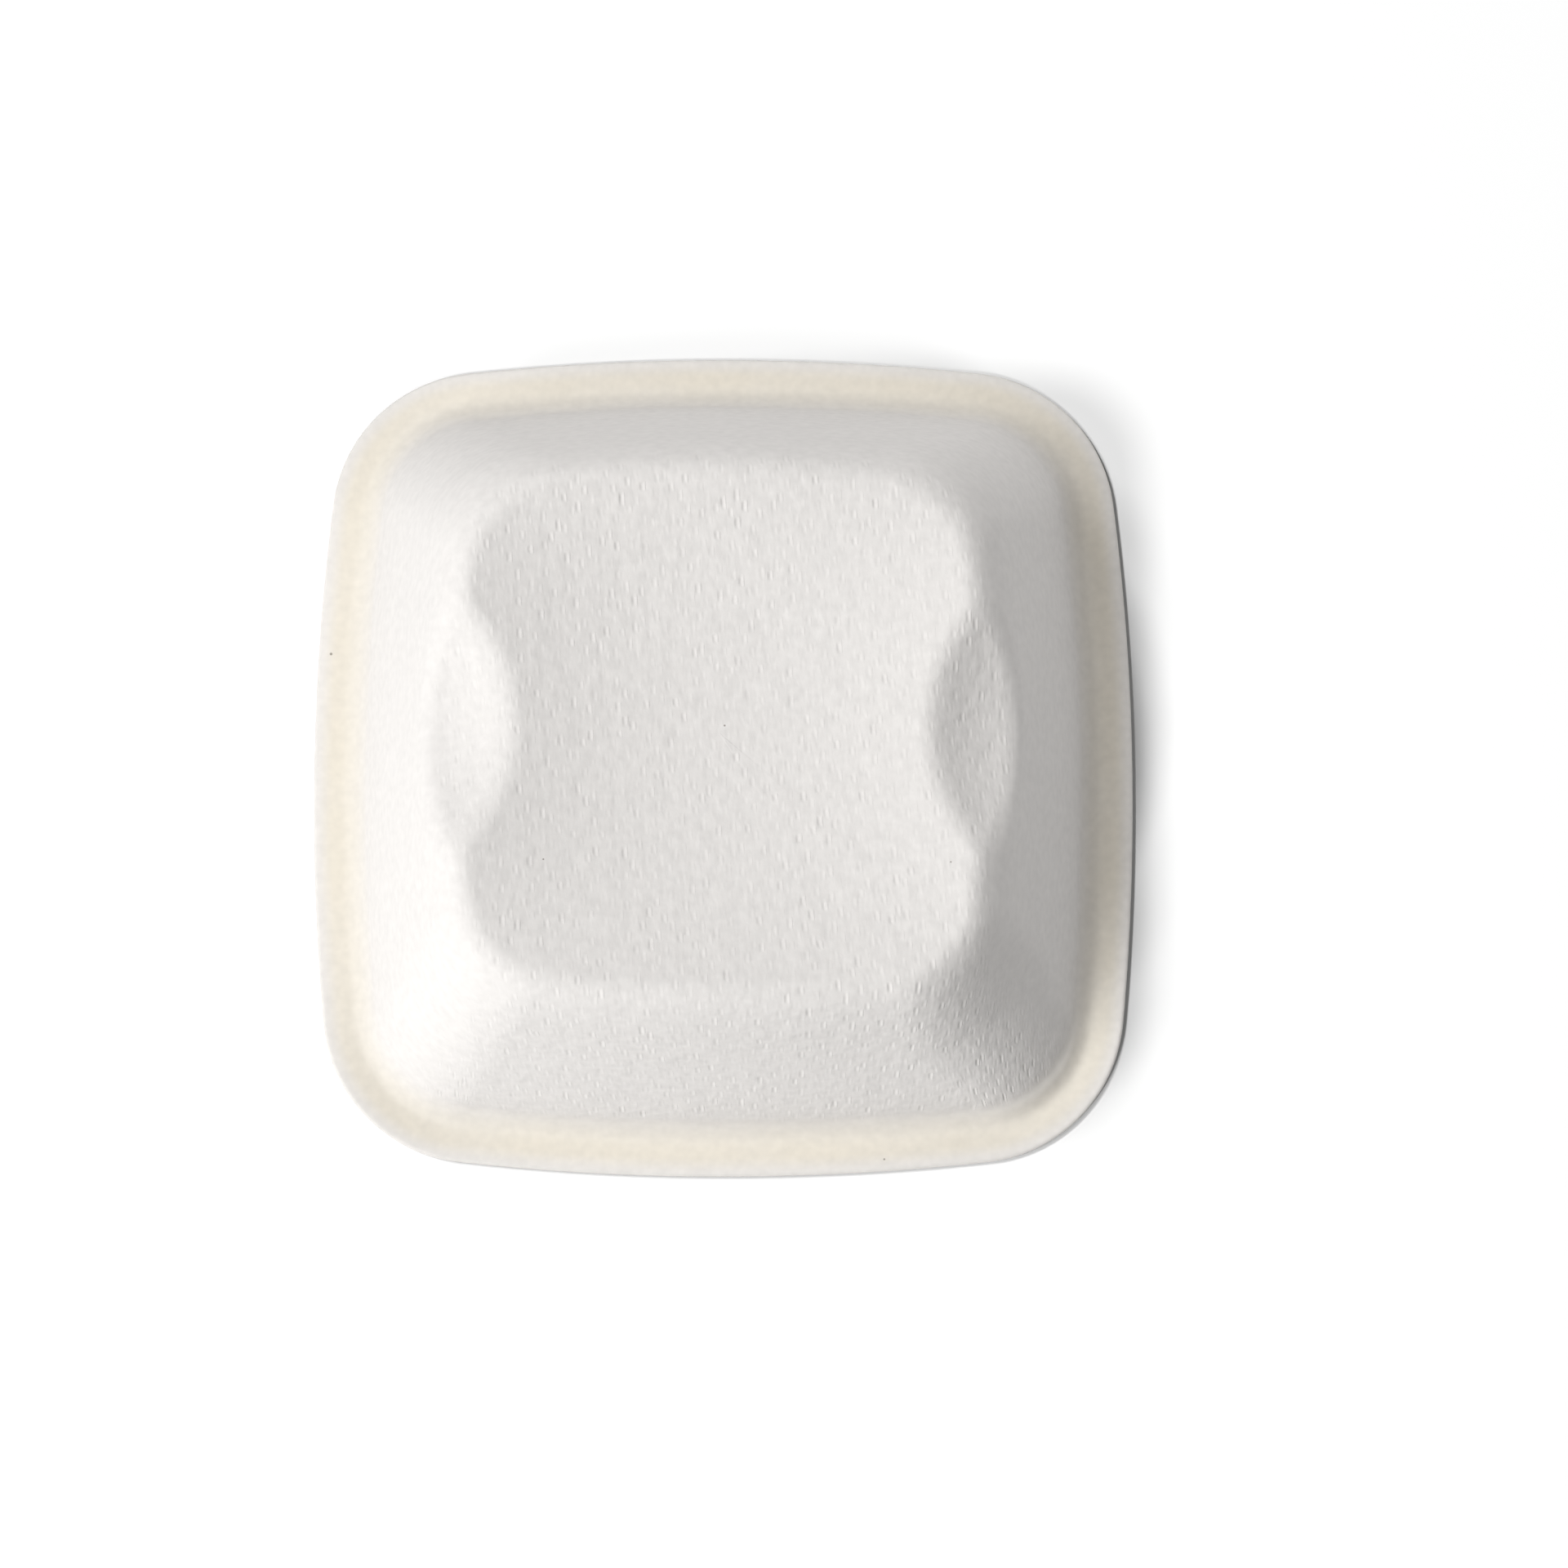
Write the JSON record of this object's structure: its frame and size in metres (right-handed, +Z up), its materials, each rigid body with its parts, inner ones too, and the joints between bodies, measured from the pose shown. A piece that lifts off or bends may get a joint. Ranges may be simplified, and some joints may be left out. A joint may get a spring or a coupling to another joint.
{
  "type": "moulded pulp portion cup",
  "caption": "Square portion cup moulded in one piece from sugar-cane pulp, lying mouth down: flat trimmed rim, sloping walls, sunk base and two finger scoops.",
  "frame": {"origin": "under the middle of the cup, on the plane that its rim rests on (the cup lies mouth down)", "axes": "+Z up, from the mouth to the closed end; X across the two scooped sides; Y across the two plain sides"},
  "size_m": [0.07, 0.07, 0.0244],
  "materials": {
    "moulded_pulp": "matte"
  },
  "bodies": {
    "root": {"cup": "moulded_pulp"}
  },
  "joints": []
}
